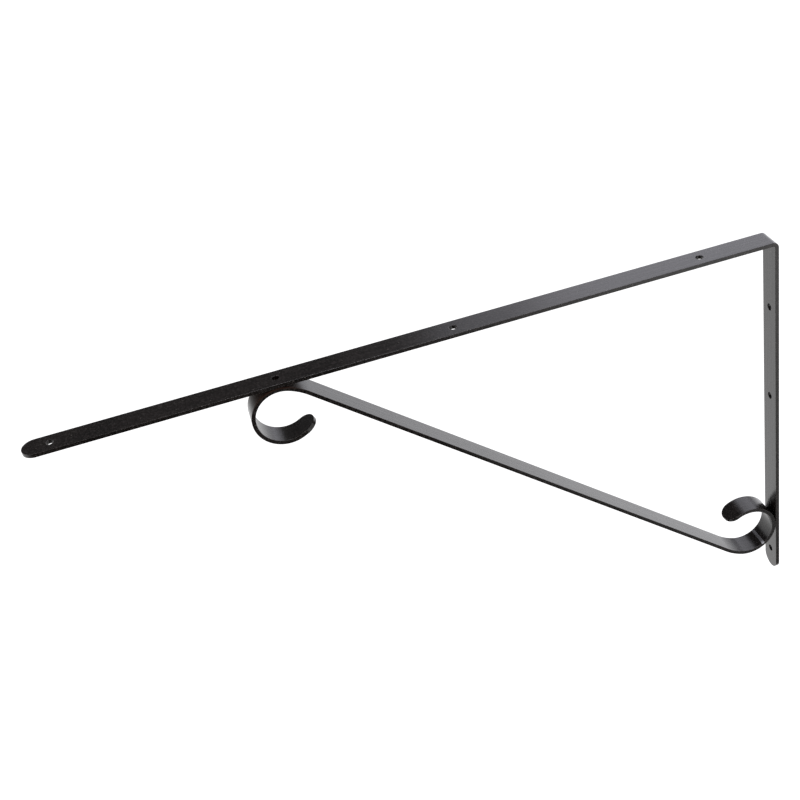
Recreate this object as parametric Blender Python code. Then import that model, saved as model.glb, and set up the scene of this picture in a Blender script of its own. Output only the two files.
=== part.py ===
# Steel wall bracket: a flat bar bent to a right angle, propped by a diagonal bar with a scroll at each end.
#
# Metres, +Z up. The wall is the plane y = 0 and the bracket reaches out from it along -Y; x = 0 is its
# middle plane. The origin is on the back of the leg, at half its height.
# Each bar is made the way the real one is: cut and drilled flat, then bent along its path.

from math import asin, atan2, ceil, cos, degrees, radians, sin

import bmesh
import bpy
from mathutils import Vector

# The flat bar stock
BAR_WIDTH = 0.020
BAR_THICKNESS = 0.0032
EDGE_ROUND = 0.0002          # the coated edges of the bar, and the rims of its holes

# The bent bar: arm and leg
ARM_REACH = 0.590            # from the wall to the tip of the arm
LEG_HEIGHT = 0.341
CORNER_RADIUS = 0.0050       # outside of the bend
HOLE_DIAMETER = 0.0060        # inside; a rounded rim makes it a little wider at the face
ARM_HOLES = (0.0615, 0.2615, 0.4000, 0.5690)   # out from the wall
LEG_HOLES = (0.0630, 0.1500, 0.3210)           # down from the top of the arm

# The scroll brace
SCROLL_DIAMETER = 0.0498     # outside
UPPER_SCROLL_OUT = 0.4009    # its centre, out from the wall
LOWER_SCROLL_DOWN = 0.2844   # its centre, down from the top of the arm
SCROLL_TURN = 247            # degrees, from the straight run to the tail
EASE_TURN = 20               # the first of those degrees are a wider bend that eases the bar into the circle
EASE_RADIUS = 0.047          # to the middle of the bar
UPPER_TAIL = 0.0130          # the straight last stretch of the upper scroll, with its round end
LOWER_TAIL = 0.0110          # the same on the lower scroll
CONTACT_GAP = 0.0003         # between the scrolls and the bent bar, where the real ones are welded

# Facets
BEND_STEP = 5                # degrees of a bend between two cuts across the bar
ROUND_STEPS = 32             # around a hole; half as many around the end of a bar
EDGE_STEPS = 1               # extra cuts in the round of an edge

TOP = LEG_HEIGHT / 2         # height of the arm's upper face
SCROLL_RADIUS = (SCROLL_DIAMETER - BAR_THICKNESS) / 2    # to the middle of the bar
SCROLL_INSET = BAR_THICKNESS + CONTACT_GAP + SCROLL_DIAMETER / 2


def clear_scene():
    for thing in list(bpy.data.objects):
        bpy.data.objects.remove(thing, do_unlink=True)


def new_collection(name):
    collection = bpy.data.collections.new(name)
    bpy.context.scene.collection.children.link(collection)
    return collection


def coated_steel(name, colour, roughness):
    material = bpy.data.materials.new(name)
    material.use_nodes = True
    shader = material.node_tree.nodes["Principled BSDF"]
    shader.inputs["Base Color"].default_value = (*colour, 1)
    shader.inputs["Roughness"].default_value = roughness
    shader.inputs["Metallic"].default_value = 0.0
    material.diffuse_color = (*colour, 1)
    return material


def direction(angle):
    """Unit vector at an angle in degrees, in the plane (y, z) that both bars are bent in."""
    return Vector((cos(radians(angle)), sin(radians(angle))))


class Path:
    """The middle line of a bent bar: straight runs and arcs, one after the other, in the plane (y, z)."""

    def __init__(self, start, heading):
        self.end, self.heading, self.length = Vector(start), heading, 0.0
        self.runs = []

    def straight(self, length):
        self.runs.append((self.length, length, self.end.copy(), self.heading, 0.0))
        self.end += length * direction(self.heading)
        self.length += length
        return self

    def arc(self, radius, turn):
        """turn is in degrees, positive to the left of the heading."""
        length = radius * radians(abs(turn))
        self.runs.append((self.length, length, self.end.copy(), self.heading, turn))
        side = 1 if turn > 0 else -1
        centre = self.end + side * radius * direction(self.heading + 90)
        self.heading += turn
        self.end = centre - side * radius * direction(self.heading + 90)
        self.length += length
        return self

    def at(self, distance):
        """Point and heading at this distance along the bar."""
        distance = max(distance, 0.0)
        begin, length, start, heading, turn = [run for run in self.runs if run[0] <= distance][-1]
        done = distance - begin
        if not turn:
            return start + done * direction(heading), heading
        side = 1 if turn > 0 else -1
        radius = length / radians(abs(turn))
        centre = start + side * radius * direction(heading + 90)
        heading += turn * done / length
        return centre - side * radius * direction(heading + 90), heading

    def cuts(self):
        """Distances at which the flat bar is cut across, so that it can follow the arcs."""
        stations = []
        for begin, length, _, _, turn in self.runs:
            steps = ceil(abs(turn) / BEND_STEP) if turn else 1
            stations += [begin + length * step / steps for step in range(steps)]
        return stations[1:]


def loop(curve, points):
    spline = curve.splines.new("POLY")
    spline.points.add(len(points) - 1)
    for point, (x, y) in zip(spline.points, points):
        point.co = (x, y, 0, 1)
    spline.use_cyclic_u = True


def circle(x, y, radius, begin, turn, steps):
    angles = [radians(begin + turn * step / steps) for step in range(steps + 1)]
    return [(x + radius * cos(a), y + radius * sin(a)) for a in angles]


def flat_bar(name, length, holes):
    """A flat bar along +Y with round ends, holes and rounded edges, as a mesh object."""
    curve = bpy.data.curves.new(name, "CURVE")
    curve.dimensions = "2D"
    curve.fill_mode = "BOTH"
    curve.extrude = BAR_THICKNESS / 2 - EDGE_ROUND
    curve.bevel_depth = EDGE_ROUND
    curve.bevel_resolution = EDGE_STEPS
    curve.offset = -EDGE_ROUND
    half = BAR_WIDTH / 2
    near = circle(0, half, half, 180, 180, ROUND_STEPS // 2)
    far = circle(0, length - half, half, 0, 180, ROUND_STEPS // 2)
    loop(curve, near + far)
    for distance in holes:
        loop(curve, circle(0, distance, HOLE_DIAMETER / 2, 0, -360, ROUND_STEPS)[:-1])
    shape = bpy.data.objects.new(name + " outline", curve)
    bpy.context.scene.collection.objects.link(shape)
    evaluated = shape.evaluated_get(bpy.context.evaluated_depsgraph_get())
    mesh = bpy.data.meshes.new_from_object(evaluated)
    mesh.name = name
    bpy.data.objects.remove(shape, do_unlink=True)
    return bpy.data.objects.new(name, mesh)


def bend(bar, path):
    """Cuts the flat bar across at the path's stations, then lays it along the path."""
    shape = bmesh.new()
    shape.from_mesh(bar.data)
    bmesh.ops.remove_doubles(shape, verts=shape.verts, dist=0.00001)
    for station in path.cuts():
        everything = shape.verts[:] + shape.edges[:] + shape.faces[:]
        bmesh.ops.bisect_plane(shape, geom=everything, plane_co=(0, station, 0), plane_no=(0, 1, 0), dist=0.000001)
    for vertex in shape.verts:
        across, along, out = vertex.co
        point, heading = path.at(along)
        y, z = point + out * direction(heading + 90)
        vertex.co = (across, y, z)
    bmesh.ops.recalc_face_normals(shape, faces=shape.faces)
    shape.to_mesh(bar.data)
    shape.free()


def make_bar(name, path, holes, material, collection):
    bar = flat_bar(name, path.length, holes)
    bend(bar, path)
    collection.objects.link(bar)
    bar.data.materials.clear()
    bar.data.materials.append(material)
    bar.data.shade_smooth()
    bar.data.set_sharp_from_angle(angle=radians(35))
    return bar


def bent_bar_path():
    """From the tip of the arm, in to the wall, round the corner and down the leg."""
    middle = CORNER_RADIUS - BAR_THICKNESS / 2
    path = Path((-ARM_REACH, TOP - BAR_THICKNESS / 2), 0)
    path.straight(ARM_REACH - CORNER_RADIUS)
    path.arc(middle, -90)
    return path.straight(LEG_HEIGHT - CORNER_RADIUS)


def hole_places(path):
    """The holes as distances along the bent bar from the tip of the arm."""
    arm = [ARM_REACH - out for out in ARM_HOLES]
    leg = [path.length - (LEG_HEIGHT - down) for down in LEG_HOLES]
    return arm + leg


def brace_path():
    """From the tip of the upper scroll to the tip of the lower one.

    The straight run crosses between the two scrolls, over the upper one and under the lower one.
    The easing bends set it a little way out from both circles.
    """
    upper = Vector((-UPPER_SCROLL_OUT, TOP - SCROLL_INSET))
    lower = Vector((-SCROLL_INSET, TOP - LOWER_SCROLL_DOWN))
    across = lower - upper
    spread = EASE_RADIUS - SCROLL_RADIUS
    stand_off = SCROLL_RADIUS + spread * (1 - cos(radians(EASE_TURN)))
    slope = degrees(atan2(across.y, across.x)) - degrees(asin(2 * stand_off / across.length))
    # Along the straight run: the distance between the centres, less what the two easing bends use
    run = across.length * cos(asin(2 * stand_off / across.length)) - 2 * spread * sin(radians(EASE_TURN))
    # On the upper circle, where the tail ends and the round part begins
    heading = slope + SCROLL_TURN
    start = upper + SCROLL_RADIUS * direction(heading + 90) - UPPER_TAIL * direction(heading)
    circle_turn = SCROLL_TURN - EASE_TURN
    path = Path(start, heading).straight(UPPER_TAIL)
    path.arc(SCROLL_RADIUS, -circle_turn).arc(EASE_RADIUS, -EASE_TURN)
    path.straight(run)
    path.arc(EASE_RADIUS, EASE_TURN).arc(SCROLL_RADIUS, circle_turn)
    return path.straight(LOWER_TAIL)


def main():
    clear_scene()
    bracket = new_collection("Steel wall bracket")
    bent_bar_coat = coated_steel("Black powder-coated steel, bent bar", (0.022, 0.022, 0.024), 0.42)
    brace_coat = coated_steel("Black powder-coated steel, brace", (0.026, 0.026, 0.028), 0.42)
    path = bent_bar_path()
    make_bar("bent_bar", path, hole_places(path), bent_bar_coat, bracket)
    make_bar("scroll_brace", brace_path(), (), brace_coat, bracket)


main()
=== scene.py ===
# %% [markdown]
# # Steel wall bracket: the looks
#
# The real object is two lengths of 20 mm flat steel bar, cut, drilled, bent cold, joined and coated black.
# One bar is bent to a right angle: its arm carries the shelf and its leg lies on the wall. The other is the
# brace, a straight diagonal with a scroll rolled at each end.
#
# The solids are in the frame already. This script gives them a fine mesh with a coating on it, and sets up
# the camera and the studio. It works in metres, with +Z up. The wall is the plane y = 0, the arm reaches out
# along -Y, and the origin is on the back of the leg, at half its height.

# %% Load the frame
from math import asin, atan2, ceil, cos, degrees, pi, radians, sin

import bmesh
import bpy
from mathutils import Matrix, Vector


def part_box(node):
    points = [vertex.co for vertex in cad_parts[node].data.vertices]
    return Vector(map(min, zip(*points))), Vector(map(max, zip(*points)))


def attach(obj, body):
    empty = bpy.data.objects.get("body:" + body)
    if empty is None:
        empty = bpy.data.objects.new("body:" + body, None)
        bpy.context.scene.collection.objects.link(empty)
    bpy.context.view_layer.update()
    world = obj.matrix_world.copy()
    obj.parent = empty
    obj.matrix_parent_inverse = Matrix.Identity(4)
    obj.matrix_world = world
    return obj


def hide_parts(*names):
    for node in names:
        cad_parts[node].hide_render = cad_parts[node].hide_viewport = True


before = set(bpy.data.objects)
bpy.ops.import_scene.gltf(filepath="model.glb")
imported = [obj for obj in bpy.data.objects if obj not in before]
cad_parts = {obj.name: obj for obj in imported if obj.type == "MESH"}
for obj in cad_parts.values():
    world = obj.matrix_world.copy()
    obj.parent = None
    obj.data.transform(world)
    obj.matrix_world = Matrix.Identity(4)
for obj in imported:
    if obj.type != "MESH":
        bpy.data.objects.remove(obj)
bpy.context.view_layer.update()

MM = 0.001
(_, bar_tip, foot), (half_width, _, top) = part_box("bent_bar")
print("bent bar: reach", round(-bar_tip / MM, 1), "height", round((top - foot) / MM, 1), "mm")

# %% [markdown]
# ## The camera
#
# The bracket was photographed from its side and a third of the way up, with the camera tilted a little, so
# that the arm climbs across the picture. A camera is easiest to reason about as a point on a sphere round
# what it looks at: a distance, an angle round the object (azimuth), an angle above it (elevation) and a roll.
# The lens follows from how fast the bar narrows with distance.

# %% Camera
AZIMUTH, ELEVATION, ROLL = radians(81.94), radians(33.70), radians(-11.68)
DISTANCE = 963.3 * MM
AIM = Vector((0, -312.1 * MM, 120.6 * MM))     # what is in the middle of the picture
LENS, SENSOR = 56.35, 36.0

outward = Vector((sin(AZIMUTH) * cos(ELEVATION), -cos(AZIMUTH) * cos(ELEVATION), sin(ELEVATION)))
level = Vector((cos(AZIMUTH), sin(AZIMUTH), 0))
upward = outward.cross(level)
right = level * cos(ROLL) + upward * sin(ROLL)
turned_up = upward * cos(ROLL) - level * sin(ROLL)

camera_data = bpy.data.cameras.new("camera")
camera_data.lens, camera_data.sensor_width = LENS, SENSOR
camera = bpy.data.objects.new("camera", camera_data)
turn = Matrix((right, turned_up, outward)).transposed().to_4x4()
camera.matrix_world = Matrix.Translation(AIM + DISTANCE * outward) @ turn
bpy.context.scene.collection.objects.link(camera)
bpy.context.scene.camera = camera
print("camera at", [round(value, 3) for value in camera.matrix_world.translation])

# %% [markdown]
# ## How a bar is made
#
# A smith cuts the bar and drills its holes while it is flat, and bends it afterwards. The mesh is made in the
# same order, because each step is then simple: a flat outline with holes is a filled 2D curve, its rounded
# edges are the curve's bevel, and bending only moves vertices along a path of straight runs and arcs.
# Modelling the bent shape directly would need a separate answer for every hole and every rounded edge.
#
# The flat place of each vertex is kept as an attribute. The coating uses it later, so that the lines from
# the rolling mill follow the bar round its bends.

# %% Sizes of the bar
WIDTH = 2 * half_width
THICKNESS = 3.2 * MM
EDGE_ROUND = 0.2 * MM
BEND_STEP = 2                # degrees between two cuts across the bar
ROUND_STEPS = 64             # facets around a hole
EDGE_STEPS = 3               # extra cuts in the round of an edge
print("bar:", round(WIDTH / MM, 1), "by", round(THICKNESS / MM, 1), "mm")


# %% The path that a bar is bent along
def direction(angle):
    return Vector((cos(radians(angle)), sin(radians(angle))))


class Path:
    """The middle line of a bent bar in the plane (y, z): straight runs and arcs, one after the other."""

    def __init__(self, start, heading):
        self.end, self.heading, self.length = Vector(start), heading, 0.0
        self.runs = []

    def straight(self, length):
        self.runs.append((self.length, length, self.end.copy(), self.heading, 0.0))
        self.end += length * direction(self.heading)
        self.length += length
        return self

    def arc(self, radius, turn):
        """turn is in degrees, positive to the left of the heading."""
        length = radius * radians(abs(turn))
        self.runs.append((self.length, length, self.end.copy(), self.heading, turn))
        side = 1 if turn > 0 else -1
        centre = self.end + side * radius * direction(self.heading + 90)
        self.heading += turn
        self.end = centre - side * radius * direction(self.heading + 90)
        self.length += length
        return self

    def at(self, distance):
        """Point and heading at this distance along the bar."""
        distance = max(distance, 0.0)
        begin, length, start, heading, turn = [run for run in self.runs if run[0] <= distance][-1]
        done = distance - begin
        if not turn:
            return start + done * direction(heading), heading
        side = 1 if turn > 0 else -1
        radius = length / radians(abs(turn))
        centre = start + side * radius * direction(heading + 90)
        heading += turn * done / length
        return centre - side * radius * direction(heading + 90), heading

    def cuts(self):
        """Distances at which the flat bar is cut across, so that it can follow the arcs."""
        stations = []
        for begin, length, _, _, turn in self.runs:
            steps = ceil(abs(turn) / BEND_STEP) if turn else 1
            stations += [begin + length * step / steps for step in range(steps)]
        return stations[1:]


print("a quarter bend of 10 mm takes", round(Path((0, 0), 0).arc(10 * MM, 90).length / MM, 1), "mm of bar")


# %% The flat bar
def circle(x, y, radius, begin, turn, steps):
    angles = [radians(begin + turn * step / steps) for step in range(steps + 1)]
    return [(x + radius * cos(a), y + radius * sin(a)) for a in angles]


def loop(curve, points):
    spline = curve.splines.new("POLY")
    spline.points.add(len(points) - 1)
    for point, (x, y) in zip(spline.points, points):
        point.co = (x, y, 0, 1)
    spline.use_cyclic_u = True


def flat_bar(name, length, holes, hole_diameter):
    """A flat bar along +Y with round ends, holes and rounded edges."""
    curve = bpy.data.curves.new(name, "CURVE")
    curve.dimensions = "2D"
    curve.fill_mode = "BOTH"
    curve.extrude = THICKNESS / 2 - EDGE_ROUND
    curve.bevel_depth = EDGE_ROUND
    curve.bevel_resolution = EDGE_STEPS
    curve.offset = -EDGE_ROUND
    half = WIDTH / 2
    near = circle(0, half, half, 180, 180, ROUND_STEPS // 2)
    far = circle(0, length - half, half, 0, 180, ROUND_STEPS // 2)
    loop(curve, near + far)
    for distance in holes:
        loop(curve, circle(0, distance, hole_diameter / 2, 0, -360, ROUND_STEPS)[:-1])
    shape = bpy.data.objects.new(name + " outline", curve)
    bpy.context.scene.collection.objects.link(shape)
    evaluated = shape.evaluated_get(bpy.context.evaluated_depsgraph_get())
    mesh = bpy.data.meshes.new_from_object(evaluated)
    mesh.name = name
    bpy.data.objects.remove(shape, do_unlink=True)
    return mesh


print("each round end has", ROUND_STEPS // 2, "facets and each hole", ROUND_STEPS)

# %% Bending the flat bar
SAME_POINT, ON_THE_CUT = 0.01 * MM, 0.001 * MM     # how close two points, or a point and a cut, count as one
FACE_WEIGHT = 100                                  # the flat faces alone decide the shading


def bend(mesh, path):
    """Cuts the flat bar across at the path's stations, keeps its flat place, and lays it along the path."""
    shape = bmesh.new()
    shape.from_mesh(mesh)
    bmesh.ops.remove_doubles(shape, verts=shape.verts, dist=SAME_POINT)
    for station in path.cuts():
        everything = shape.verts[:] + shape.edges[:] + shape.faces[:]
        bmesh.ops.bisect_plane(shape, geom=everything, dist=ON_THE_CUT,
                               plane_co=(0, station, 0), plane_no=(0, 1, 0))
    flat_place = shape.verts.layers.float_vector.new("flat_place")
    for vertex in shape.verts:
        across, along, out = vertex.co
        vertex[flat_place] = (across, along, out)
        point, heading = path.at(along)
        y, z = point + out * direction(heading + 90)
        vertex.co = (across, y, z)
    bmesh.ops.recalc_face_normals(shape, faces=shape.faces)
    shape.to_mesh(mesh)
    shape.free()


def make_bar(name, path, holes=(), hole_diameter=0.0):
    mesh = flat_bar(name, path.length, holes, hole_diameter)
    bend(mesh, path)
    mesh.materials.clear()
    mesh.shade_smooth()
    bar = bpy.data.objects.new(name, mesh)
    bpy.context.scene.collection.objects.link(bar)
    weighted = bar.modifiers.new("flat faces stay flat", "WEIGHTED_NORMAL")
    weighted.mode = "FACE_AREA"
    weighted.weight = FACE_WEIGHT
    print(name, "is", round(path.length / MM), "mm of bar,", len(mesh.polygons), "faces")
    return bar


# %% [markdown]
# ## The bent bar
#
# One bar makes both the arm and the leg. It starts at the tip of the arm, runs in to the wall, turns down
# through a tight cold bend and ends at the foot of the leg. Its seven screw holes are drilled through.

# %% Bent bar
CORNER_RADIUS = 5.0 * MM     # outside of the bend
HOLE_DIAMETER = 6.0 * MM     # inside the rounded rims
ARM_HOLES = (61.5 * MM, 261.5 * MM, 400.0 * MM, 569.0 * MM)    # out from the wall
LEG_HOLES = (63.0 * MM, 150.0 * MM, 321.0 * MM)                # down from the top of the arm

reach, height = -bar_tip, top - foot
bent_path = Path((bar_tip, top - THICKNESS / 2), 0)
bent_path.straight(reach - CORNER_RADIUS)
bent_path.arc(CORNER_RADIUS - THICKNESS / 2, -90)
bent_path.straight(height - CORNER_RADIUS)
holes = [reach - out for out in ARM_HOLES] + [bent_path.length - (height - down) for down in LEG_HOLES]
arm_and_leg = make_bar("arm_and_leg", bent_path, holes, HOLE_DIAMETER)

# %% [markdown]
# ## The scroll brace
#
# The brace was rolled round a former at each end, so its scrolls are true circles with a short straight tail
# that the former never reached. The straight run crosses from above the upper scroll to below the lower one.
# It eases into each circle through a wider bend, as springy bar does where the roller lets go of it.

# %% Scroll brace
SCROLL_DIAMETER = 49.8 * MM
UPPER_SCROLL_OUT = 400.9 * MM      # its centre, out from the wall
LOWER_SCROLL_DOWN = 284.4 * MM     # its centre, down from the top of the arm
SCROLL_TURN, EASE_TURN = 247, 20   # degrees; the second is the part in the wider bend
EASE_RADIUS = 47.0 * MM
UPPER_TAIL, LOWER_TAIL = 13.0 * MM, 11.0 * MM
CONTACT_GAP = 0.3 * MM

scroll_radius = (SCROLL_DIAMETER - THICKNESS) / 2
inset = THICKNESS + CONTACT_GAP + SCROLL_DIAMETER / 2
upper_centre = Vector((-UPPER_SCROLL_OUT, top - inset))
lower_centre = Vector((-inset, top - LOWER_SCROLL_DOWN))


def brace_path():
    """From the tip of the upper scroll to the tip of the lower one."""
    across = lower_centre - upper_centre
    spread = EASE_RADIUS - scroll_radius
    stand_off = scroll_radius + spread * (1 - cos(radians(EASE_TURN)))
    lean = asin(2 * stand_off / across.length)
    slope = degrees(atan2(across.y, across.x) - lean)
    run = across.length * cos(lean) - 2 * spread * sin(radians(EASE_TURN))
    heading = slope + SCROLL_TURN
    start = upper_centre + scroll_radius * direction(heading + 90) - UPPER_TAIL * direction(heading)
    circle_turn = SCROLL_TURN - EASE_TURN
    path = Path(start, heading).straight(UPPER_TAIL)
    path.arc(scroll_radius, -circle_turn).arc(EASE_RADIUS, -EASE_TURN)
    path.straight(run)
    path.arc(EASE_RADIUS, EASE_TURN).arc(scroll_radius, circle_turn)
    return path.straight(LOWER_TAIL)


scroll_path = brace_path()
brace = make_bar("brace_with_scrolls", scroll_path)

# %% [markdown]
# ## Black powder-coated steel
#
# The bars were coated after they were made: a thin film of black powder, baked until it flowed. The eye sees
# a deep, slightly warm black with a satin sheen that turns grey where it faces a light. The film isn't quite
# level: it has a fine orange peel, and under it the lengthwise lines of the rolled bar still show.
#
# A coloured film is a plain dielectric, so the shader has no metal in it, and an IOR of 1.5. A picture of a
# coat would need unwrapping and would blur close up, so every pattern is made by nodes.

# %% Tools for materials
def srgb(hex_colour):
    """An sRGB hex colour as linear red, green, blue and alpha."""
    values = [int(hex_colour[i:i + 2], 16) / 255 for i in (1, 3, 5)]
    return tuple(v / 12.92 if v <= 0.04045 else ((v + 0.055) / 1.055) ** 2.4 for v in values) + (1.0,)


def add(tree, kind, links=None, **settings):
    """Adds a node. links maps an input's name or number to a value, or to an output to link it from."""
    made = tree.nodes.new(kind)
    for name, value in settings.items():
        setattr(made, name, value)
    for name, value in (links or {}).items():
        if isinstance(value, bpy.types.NodeSocket):
            tree.links.new(value, made.inputs[name])
        else:
            made.inputs[name].default_value = value
    return made


def calculate(tree, operation, *values):
    return add(tree, "ShaderNodeMath", dict(enumerate(values)), operation=operation).outputs[0]


def ramp(tree, value, begin, end, low=0.0, high=1.0, curve="LINEAR"):
    """Turns a value that runs from begin to end into one from low to high, which stays level beyond them."""
    span = {"Value": value, "From Min": begin, "From Max": end, "To Min": low, "To Max": high}
    return add(tree, "ShaderNodeMapRange", span, interpolation_type=curve).outputs[0]


def mix_values(tree, share, first, second):
    return add(tree, "ShaderNodeMix", {"Factor": share, 2: first, 3: second}).outputs[0]


def mix_colours(tree, share, first, second):
    return add(tree, "ShaderNodeMix", {"Factor": share, 6: first, 7: second}, data_type="RGBA").outputs[2]


print("mid grey #808080 is", round(srgb("#808080")[0], 3), "in linear light")

# %% [markdown]
# ## The patterns of the coat
#
# The patterns read the flat place of the bar, in metres. So they keep their real size, and the rolling lines
# follow each bend. A pattern that is too fine for the picture is drawn as coarse as it needs to show.

# %% Patterns of the coat
ROLLING_LINE, ROLLING_LINE_LENGTH = 1.6 * MM, 90 * MM    # real ones are near 0.3 mm apart, too fine to show
ORANGE_PEEL = 1.4 * MM                                   # real peel is near 1 mm, a little too fine to show
CLOUD = 35 * MM                                          # slow changes in the film
DUST, DUST_APART = 0.5 * MM, 6.0 * MM                    # radius; real specks are near 0.1 mm, too fine to show


def flat_place(tree):
    """Where a point was while the bar was flat: across it, along it and out of it."""
    return add(tree, "ShaderNodeAttribute", attribute_name="flat_place").outputs["Vector"]


def noise(tree, place, scale, detail):
    return add(tree, "ShaderNodeTexNoise", {"Vector": place, "Scale": scale, "Detail": detail}).outputs["Fac"]


def patterns(tree, seed):
    """Rolling lines, orange peel, slow clouds and specks of dust."""
    shift, stretch = (seed, seed, seed), (1 / ROLLING_LINE, 1 / ROLLING_LINE_LENGTH, 1 / ROLLING_LINE)
    moved = add(tree, "ShaderNodeVectorMath", {0: flat_place(tree), 1: shift}, operation="ADD").outputs[0]
    stretched = add(tree, "ShaderNodeVectorMath", {0: moved, 1: stretch}, operation="MULTIPLY").outputs[0]
    lines = noise(tree, stretched, 1.0, 3.0)
    peel = noise(tree, moved, 1 / ORANGE_PEEL, 2.0)
    cloud = noise(tree, moved, 1 / CLOUD, 4.0)
    away = add(tree, "ShaderNodeTexVoronoi", {"Vector": moved, "Scale": 1 / DUST_APART}).outputs["Distance"]
    speck = DUST / DUST_APART
    return lines, peel, cloud, ramp(tree, away, speck, speck / 2)


print("a rolling line is", round(ROLLING_LINE_LENGTH / ROLLING_LINE), "times as long as it is wide")

# %% [markdown]
# ## Rubbed edges, with a painted highlight
#
# Where a bar is handled, the film goes first from its arrises, the lines where a wide face meets a narrow
# side. The fine light line along each arris is partly that thin film and partly a painted highlight, standing
# for the lights mirrored in the rounded arris. A bevel node smooths the surface over a small radius, and
# where that differs from the true surface there is an edge. So the light line needs no image.

# %% Rubbed edges and painted highlight
# the light line on the arrises: film rubbed thin, and a painted highlight
EDGE_LINE_REACH, EDGE_SAMPLES = 0.45 * MM, 6     # how far from an edge the film is thin
EDGE_LINE_BEGINS, EDGE_LINE_FULL = 0.995, 0.8        # how well the smoothed surface and the true one agree
EDGE_LINE_ON_SIDES = 0.15                       # the narrow sides keep most of their film


def rubbed_and_highlighted(tree):
    smoothed = add(tree, "ShaderNodeBevel", {"Radius": EDGE_LINE_REACH}, samples=EDGE_SAMPLES).outputs[0]
    real = add(tree, "ShaderNodeNewGeometry").outputs["Normal"]
    agree = add(tree, "ShaderNodeVectorMath", {0: smoothed, 1: real}, operation="DOT_PRODUCT").outputs["Value"]
    out = add(tree, "ShaderNodeSeparateXYZ", {0: flat_place(tree)}).outputs["Z"]
    height, face = calculate(tree, "ABSOLUTE", out), THICKNESS / 2
    most = ramp(tree, height, face - EDGE_ROUND, face, EDGE_LINE_ON_SIDES, 1.0)
    return ramp(tree, agree, EDGE_LINE_BEGINS, EDGE_LINE_FULL, 0.0, most)


print("wear reaches", round(EDGE_LINE_REACH / MM, 2), "mm from an edge")

# %% Black powder coat
COAT_BLACK, COAT_BLACK_THIN = srgb("#080504"), srgb("#1c1613")   # full film, and where it is thinnest
COAT_GRAIN = srgb("#2e2927")                                     # the light grains of the film
COAT_DUST = srgb("#5e5752")                                      # dust baked into the film
# a light colour on the arrises: rubbed film and painted highlight
COAT_WORN_AND_HIGHLIGHT = srgb("#9c9591")                                # rubbed edges
FILM_IOR = 1.5
FILM_THINS, FILM_ROUGHENS = (0.75, 1.35), (0.7, 1.3)             # where lines and clouds together do so
GRAIN_SHOWS = (0.48, 0.66)                                       # where the peel is high enough
SMOOTHEST, ROUGHEST = 0.18, 0.26
LINE_HEIGHT, PEEL_HEIGHT = 0.09 * MM, 0.018 * MM                 # as coarse as the patterns are


def powder_coat(name, seed):
    material = bpy.data.materials.new(name)
    material.use_nodes = True
    tree = material.node_tree
    shader = tree.nodes["Principled BSDF"]
    shader.inputs["Metallic"].default_value = 0.0
    shader.inputs["IOR"].default_value = FILM_IOR
    lines, peel, cloud, dust = patterns(tree, seed)
    both = calculate(tree, "ADD", lines, cloud)

    film = mix_colours(tree, ramp(tree, both, *FILM_THINS), COAT_BLACK, COAT_BLACK_THIN)
    grained = mix_colours(tree, ramp(tree, peel, *GRAIN_SHOWS), film, COAT_GRAIN)
    dusty = mix_colours(tree, dust, grained, COAT_DUST)
    colour = mix_colours(tree, rubbed_and_highlighted(tree), dusty, COAT_WORN_AND_HIGHLIGHT)
    tree.links.new(colour, shader.inputs["Base Color"])

    roughness = ramp(tree, both, *FILM_ROUGHENS, SMOOTHEST, ROUGHEST)
    tree.links.new(roughness, shader.inputs["Roughness"])

    rolled = {"Height": lines, "Strength": 1.0, "Distance": LINE_HEIGHT}
    peeled = {"Height": peel, "Strength": 1.0, "Distance": PEEL_HEIGHT}
    peeled["Normal"] = add(tree, "ShaderNodeBump", rolled).outputs[0]
    tree.links.new(add(tree, "ShaderNodeBump", peeled).outputs[0], shader.inputs["Normal"])
    return material


# %% Coat the bars
for bar, node, slot, seed in ((arm_and_leg, "bent_bar", "coated_bar", 0.3),
                              (brace, "scroll_brace", "coated_brace", 1.7)):
    bar.data.materials.append(powder_coat("black powder-coated steel, " + bar.name.replace("_", " "), seed))
    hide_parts(node)
    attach(bar, "root")
print("coated:", [bar.data.materials[0].name for bar in (arm_and_leg, brace)])

# %% [markdown]
# ## Painted shade and a painted highlight on the brace
#
# Two marks are painted on the brace alone. Beside its weld to the arm the coat is brown and dull: painted
# shade, for the arm's shadow and its dark underside mirrored on the outside of the upper scroll. Across the
# inside of the lower scroll runs a light band, brightest on the front rim: a painted highlight and glint.
# Both run straight across the bar, so a distance along it is enough to place them, and they are mixed over
# the finished coat.

# %% Painted shade and highlight on the brace
# painted shade beside the arm, brown and dull
ARM_SHADE, ARM_SHADE_AT, ARM_SHADE_REACH = srgb("#2e1c12"), 93 * MM, 28 * MM     # where along the bar, and how far it goes
ARM_SHADE_ROUGHNESS = 0.8
FILM_GLOSS, ARM_SHADE_GLOSS = 0.5, 0.12
# a painted highlight and glint across the inside of the lower scroll, brightest on the front rim
RIM_GLINT, RIM_GLINT_REACH = srgb("#e4e4e8"), 2.0 * MM
RIM_GLINT_FROM_END = 80.5 * MM                                           # from the lower end of the bar
RIM_GLINT_INSIDE, RIM_GLINT_ON_RIM = 0.18, 0.9                               # how much of the film it hides
RIM = (0.7 * half_width, half_width)                                 # how far across the bar


def band(tree, middle, reach, strength):
    """A band across one wide face: the outside of the upper scroll, which is the inside of the lower one."""
    _, along, out = add(tree, "ShaderNodeSeparateXYZ", {0: flat_place(tree)}).outputs
    away = calculate(tree, "ABSOLUTE", calculate(tree, "SUBTRACT", along, middle))
    near = ramp(tree, away, reach, reach / 3, 0.0, strength, "SMOOTHSTEP")
    return calculate(tree, "MULTIPLY", near, calculate(tree, "GREATER_THAN", out, THICKNESS / 4))


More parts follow.
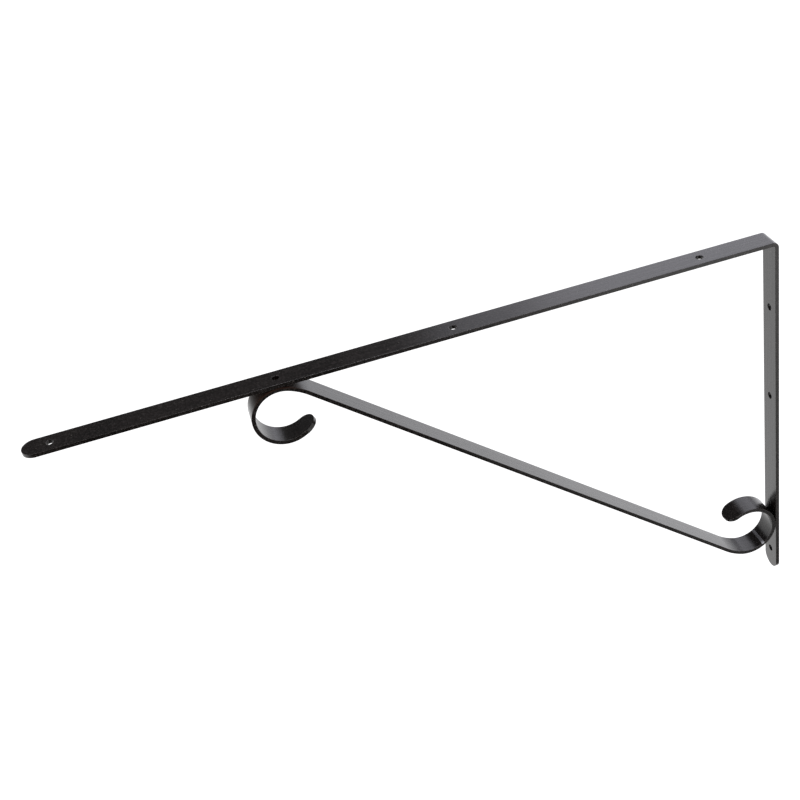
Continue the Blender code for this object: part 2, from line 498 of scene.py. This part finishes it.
def mark_brace(material, length):
    tree = material.node_tree
    shader = tree.nodes["Principled BSDF"]
    film, roughness = [shader.inputs[name].links[0].from_socket for name in ("Base Color", "Roughness")]
    across = add(tree, "ShaderNodeSeparateXYZ", {0: flat_place(tree)}).outputs["X"]
    strength = ramp(tree, across, *RIM, RIM_GLINT_INSIDE, RIM_GLINT_ON_RIM)
    arm_shade = band(tree, ARM_SHADE_AT, ARM_SHADE_REACH, 1.0)
    rim_glint = band(tree, length - RIM_GLINT_FROM_END, RIM_GLINT_REACH, strength)
    marked = {"Base Color": mix_colours(tree, rim_glint, mix_colours(tree, arm_shade, film, ARM_SHADE), RIM_GLINT),
              "Roughness": mix_values(tree, arm_shade, roughness, ARM_SHADE_ROUGHNESS),
              "Specular IOR Level": mix_values(tree, arm_shade, FILM_GLOSS, ARM_SHADE_GLOSS)}
    for name, value in marked.items():
        tree.links.new(value, shader.inputs[name])


mark_brace(brace.data.materials[0], scroll_path.length)
print("stain at", round(ARM_SHADE_AT / MM), "mm, scuff at", round((scroll_path.length - RIM_GLINT_FROM_END) / MM), "mm")

# %% [markdown]
# ## The studio: the floor
#
# A black satin bar has hardly any colour of its own: nearly all that shows is the studio mirrored in it.
# So every light stands where one of the bars points the eye.
#
# The floor is a sheet of opal plastic lit from below, as on a table for photographing wares. It is pale all
# over and takes no shadow, as in the photograph. A floor lit by lamps alone would be greyer far away.

# %% Floor
FLOOR_DROP = 0.75                      # below the foot of the bracket
FLOOR_SIZE, FLOOR_CELLS = 60.0, 40
FLOOR_ROUGHNESS = 0.9
SHEET_GLOW = srgb("#fafafa")
GLOW_BACK, GLOW_FRONT = 1.18, 0.85     # behind the bracket, and on the camera's side
GLOW_CHANGES = (0.0, 0.8)              # how far out to the camera's side it turns from one to the other


def level_sheet(name, size, cells, place, material_name, colour, roughness):
    """A level sheet with a glow. Returns it, its node tree, and its own X and Y for the pattern of the glow."""
    shape = bmesh.new()
    bmesh.ops.create_grid(shape, x_segments=cells, y_segments=cells, size=size / 2)
    mesh = bpy.data.meshes.new(name)
    shape.to_mesh(mesh)
    shape.free()
    sheet = bpy.data.objects.new(name, mesh)
    sheet.location = place
    bpy.context.scene.collection.objects.link(sheet)
    material = bpy.data.materials.new(material_name)
    material.use_nodes = True
    tree = material.node_tree
    for socket, value in (("Base Color", colour), ("Roughness", roughness), ("Emission Color", SHEET_GLOW)):
        tree.nodes["Principled BSDF"].inputs[socket].default_value = value
    mesh.materials.append(material)
    own_place = add(tree, "ShaderNodeTexCoord").outputs["Object"]
    x, y = add(tree, "ShaderNodeSeparateXYZ", {0: own_place}).outputs[:2]
    return sheet, tree, x, y


def set_glow(tree, glow):
    tree.links.new(glow, tree.nodes["Principled BSDF"].inputs["Emission Strength"])


floor_height = foot - FLOOR_DROP
floor, tree, x, _ = level_sheet("floor", FLOOR_SIZE, FLOOR_CELLS, (0, 0, floor_height),
                                "opal acrylic sheet, cast, lit from below", srgb("#808080"), FLOOR_ROUGHNESS)
set_glow(tree, ramp(tree, x, *GLOW_CHANGES, GLOW_BACK, GLOW_FRONT, "SMOOTHSTEP"))
print("floor at", round(floor_height, 2), "m")

# %% [markdown]
# ## A graded card for the near edges
#
# The narrow sides that face the camera mirror the floor in front of them. In the photograph they are nearly
# black at the tip and grey at the wall, so a card lies there that glows from black to white: a graded light
# for their reflections alone. Only the gloss of the bars sees it, so it stays out of every picture.

# %% Graded card
CARD_SIZE, CARD_CELLS = 4.0, 8
CARD_AHEAD, CARD_LIFT = 2.2, 0.01       # out to the camera's side, and off the floor
CARD_BLACK, CARD_WHITE = 0.03, 1.45     # how bright the card is at the tip end, and at the wall end
CARD_FADE = (-0.05, 0.6)                # the stretch along Y over which it changes
CARD_NEAR = 0.2                         # the part of that brightness that is left close to the bracket
CARD_NEAR_FADE = (-1.5, -0.5)           # the stretch along X over which it comes back

card, tree, x, y = level_sheet("graded_card", CARD_SIZE, CARD_CELLS, (CARD_AHEAD, 0, floor_height + CARD_LIFT),
                               "matt card, sprayed from black to white", srgb("#000000"), 1.0)
white = ramp(tree, x, *CARD_NEAR_FADE, CARD_WHITE * CARD_NEAR, CARD_WHITE)
set_glow(tree, ramp(tree, y, *CARD_FADE, CARD_BLACK, white, "SMOOTHSTEP"))
card.visible_camera = card.visible_diffuse = card.visible_shadow = False
print("card", CARD_SIZE, "m wide, seen by the gloss alone")

# %% [markdown]
# ## The lights
#
# A tall soft light stands behind the wall end of the bracket, and its upright left edge is what fades along
# the arm from grey to black. It is built from panels, because its upper half is brighter than its lower one.
# Three smaller lights from above add sheen. All have a trace of blue.

# %% Lights
LIGHT_COLOUR = srgb("#f5f5ff")


def soft_light(name, place, target, width, height, brightness):
    """A rectangular soft light. Its brightness is the same at any size: 1 is white paper in the picture."""
    data = bpy.data.lights.new(name, "AREA")
    data.shape = "RECTANGLE"
    data.size, data.size_y = width, height
    data.energy = brightness * pi * width * height
    data.color = LIGHT_COLOUR[:3]
    light = bpy.data.objects.new(name, data)
    light.location = place
    light.rotation_euler = (Vector(target) - Vector(place)).to_track_quat("-Z", "Y").to_euler()
    light.visible_camera = False
    bpy.context.scene.collection.objects.link(light)
    print(name, "at", [round(value, 2) for value in light.location])


TALL_AWAY = 1.0                                        # behind the bracket
TALL_FADE, TALL_LEFT, TALL_RIGHT = -0.09, 0.10, 1.9    # its dim left edge, and the two edges of its bright part
TALL_FOOT, TALL_SEAM, TALL_HEAD = -0.7, 0.4, 1.4


def tall_panel(name, left, right, low, high, brightness):
    middle = Vector((-TALL_AWAY, (left + right) / 2, (low + high) / 2))
    soft_light(name, middle, middle + Vector((1, 0, 0)), right - left, high - low, brightness)


tall_panel("tall light, lower half", TALL_LEFT, TALL_RIGHT, TALL_FOOT, TALL_SEAM, brightness=0.5)
tall_panel("tall light, upper half", TALL_LEFT, TALL_RIGHT, TALL_SEAM, TALL_HEAD, brightness=1.95)
tall_panel("tall light, upper fade", TALL_FADE, TALL_LEFT, TALL_SEAM, TALL_HEAD, brightness=0.9)
soft_light("light over the wall end", place=(0.0, 0.1, 1.6), target=(0.0, -0.2, 0.0),
           width=0.8, height=0.8, brightness=5.0)
soft_light("light over the camera", place=(1.3, -0.2, 1.9), target=(0.0, -0.3, 0.0),
           width=0.6, height=0.6, brightness=9.5)
soft_light("light at the tip side", place=(0.4, -2.0, 1.4), target=(0.0, -0.3, 0.0),
           width=0.6, height=0.6, brightness=3.0)

# %% [markdown]
# ## The room
#
# The walls are pale low down, so that the floor seems to go on beyond its edge. Above that the room is dark,
# and the outer half of the arm has only darkness to mirror. A little light spills round the tall light.

# %% Room
ROOM_WHITE = srgb("#f4f5f7")
ROOM_LOW, ROOM_HIGH, ROOM_SPILL = 1.12, 0.08, 0.15      # near the horizon, above it, and beside the tall light
ROOM_DARKENS = (0.1, 0.25)                              # how far up, from level (0) to straight up (1)
SPILL_GROWS = (0.8, 1.0)                                # how nearly towards the tall light
TO_TALL_LIGHT = Vector((-0.8, 0.3, 0.5)).normalized()

world = bpy.data.worlds.new("dim room with pale walls low down")
bpy.context.scene.world = world
world.use_nodes = True
tree = world.node_tree
way = add(tree, "ShaderNodeTexCoord").outputs["Generated"]
rise = add(tree, "ShaderNodeSeparateXYZ", {0: way}).outputs["Z"]
beside = add(tree, "ShaderNodeVectorMath", {0: way, 1: TO_TALL_LIGHT}, operation="DOT_PRODUCT").outputs["Value"]
high = ramp(tree, beside, *SPILL_GROWS, ROOM_HIGH, ROOM_SPILL)
background = tree.nodes["Background"]
background.inputs["Color"].default_value = ROOM_WHITE
tree.links.new(ramp(tree, rise, *ROOM_DARKENS, ROOM_LOW, high, "SMOOTHSTEP"), background.inputs["Strength"])
bpy.context.scene.view_settings.view_transform = "Standard"
print("room:", world.name)

# %% [markdown]
# ## The end
#
# The view layer is brought up to date.

# %% The end
bpy.context.view_layer.update()
